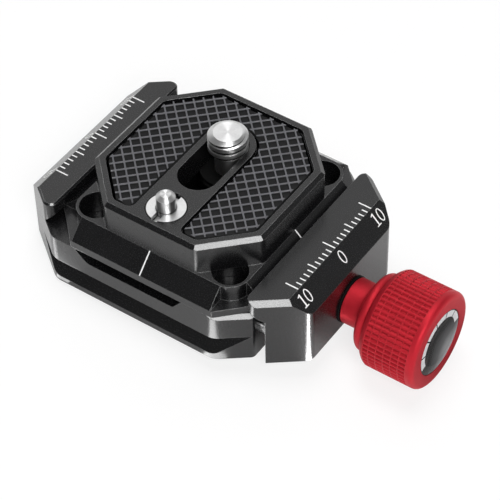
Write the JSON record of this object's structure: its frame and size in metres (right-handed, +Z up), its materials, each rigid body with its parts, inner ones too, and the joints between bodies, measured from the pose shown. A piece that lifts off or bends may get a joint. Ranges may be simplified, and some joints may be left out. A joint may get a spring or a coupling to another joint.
{
  "type": "dovetail quick release clamp",
  "caption": "Dovetail quick release clamp with a screw knob, holding an eight-sided camera plate with a slotted camera screw.",
  "frame": {"origin": "centre of the threaded hole in the base's bottom face", "axes": "+X the clamping direction, towards the knob; +Y along the jaws; +Z up, out of the plate's top"},
  "size_m": [0.0672, 0.038, 0.0262],
  "materials": {
    "clamp_black": "satin",
    "plate_black": "satin",
    "knob_red": "satin",
    "bright_steel": "polished",
    "plain_steel": "satin",
    "spring_steel": "satin",
    "cap_gloss": "gloss",
    "black_plastic": "matte",
    "pad_rubber": "matte"
  },
  "bodies": {
    "clamp": {"base_body": "clamp_black", "thread_bush": "plain_steel", "clamp_spring": "spring_steel"},
    "jaw": {"movable_jaw": "clamp_black", "guide_pin_front": "plain_steel", "guide_pin_rear": "plain_steel", "thrust_washer": "black_plastic"},
    "knob": {"knob": "knob_red", "clamp_stud": "plain_steel", "stud_clip": "spring_steel", "knob_screw": "plain_steel", "knob_cap": "cap_gloss"},
    "plate": {"plate_body": "plate_black", "grip_pad": "pad_rubber", "pin_insert": "bright_steel", "pin_spring": "spring_steel"},
    "pin": {"index_pin": "bright_steel"},
    "screw_carrier": {"screw_washer": "black_plastic"},
    "screw": {"camera_screw": "bright_steel"}
  },
  "joints": [
    {"name": "knob_turn", "type": "hinge", "parent": "jaw", "child": "knob", "pos_m": [0.03, 0, 0.0038], "axis": [1, 0, 0], "range_deg": [0, 1800]},
    {"name": "jaw_slide", "type": "slide", "parent": "clamp", "child": "jaw", "axis": [1, 0, 0], "range_m": [0, 0.004], "deforming": ["clamp_spring"]},
    {"name": "plate_slide", "type": "slide", "parent": "clamp", "child": "plate", "axis": [0, 1, 0], "range_m": [-0.0096, 0.0104]},
    {"name": "index_pin_press", "type": "slide", "parent": "plate", "child": "pin", "axis": [0, 0, -1], "range_m": [0, 0.0029], "stiffness_N_per_m": 300, "springref_m": -0.002, "deforming": ["pin_spring"]},
    {"name": "screw_slide", "type": "slide", "parent": "plate", "child": "screw_carrier", "axis": [0, 1, 0], "range_m": [-0.0078, 0]},
    {"name": "camera_screw_turn", "type": "hinge", "parent": "screw_carrier", "child": "screw", "pos_m": [0, 0.0046, 0.0165], "axis": [0, 0, 1], "continuous": true}
  ],
  "couplings": [
    {"joint": "jaw_slide", "follows": "knob_turn", "m_per_rad": 0.00012732}
  ]
}
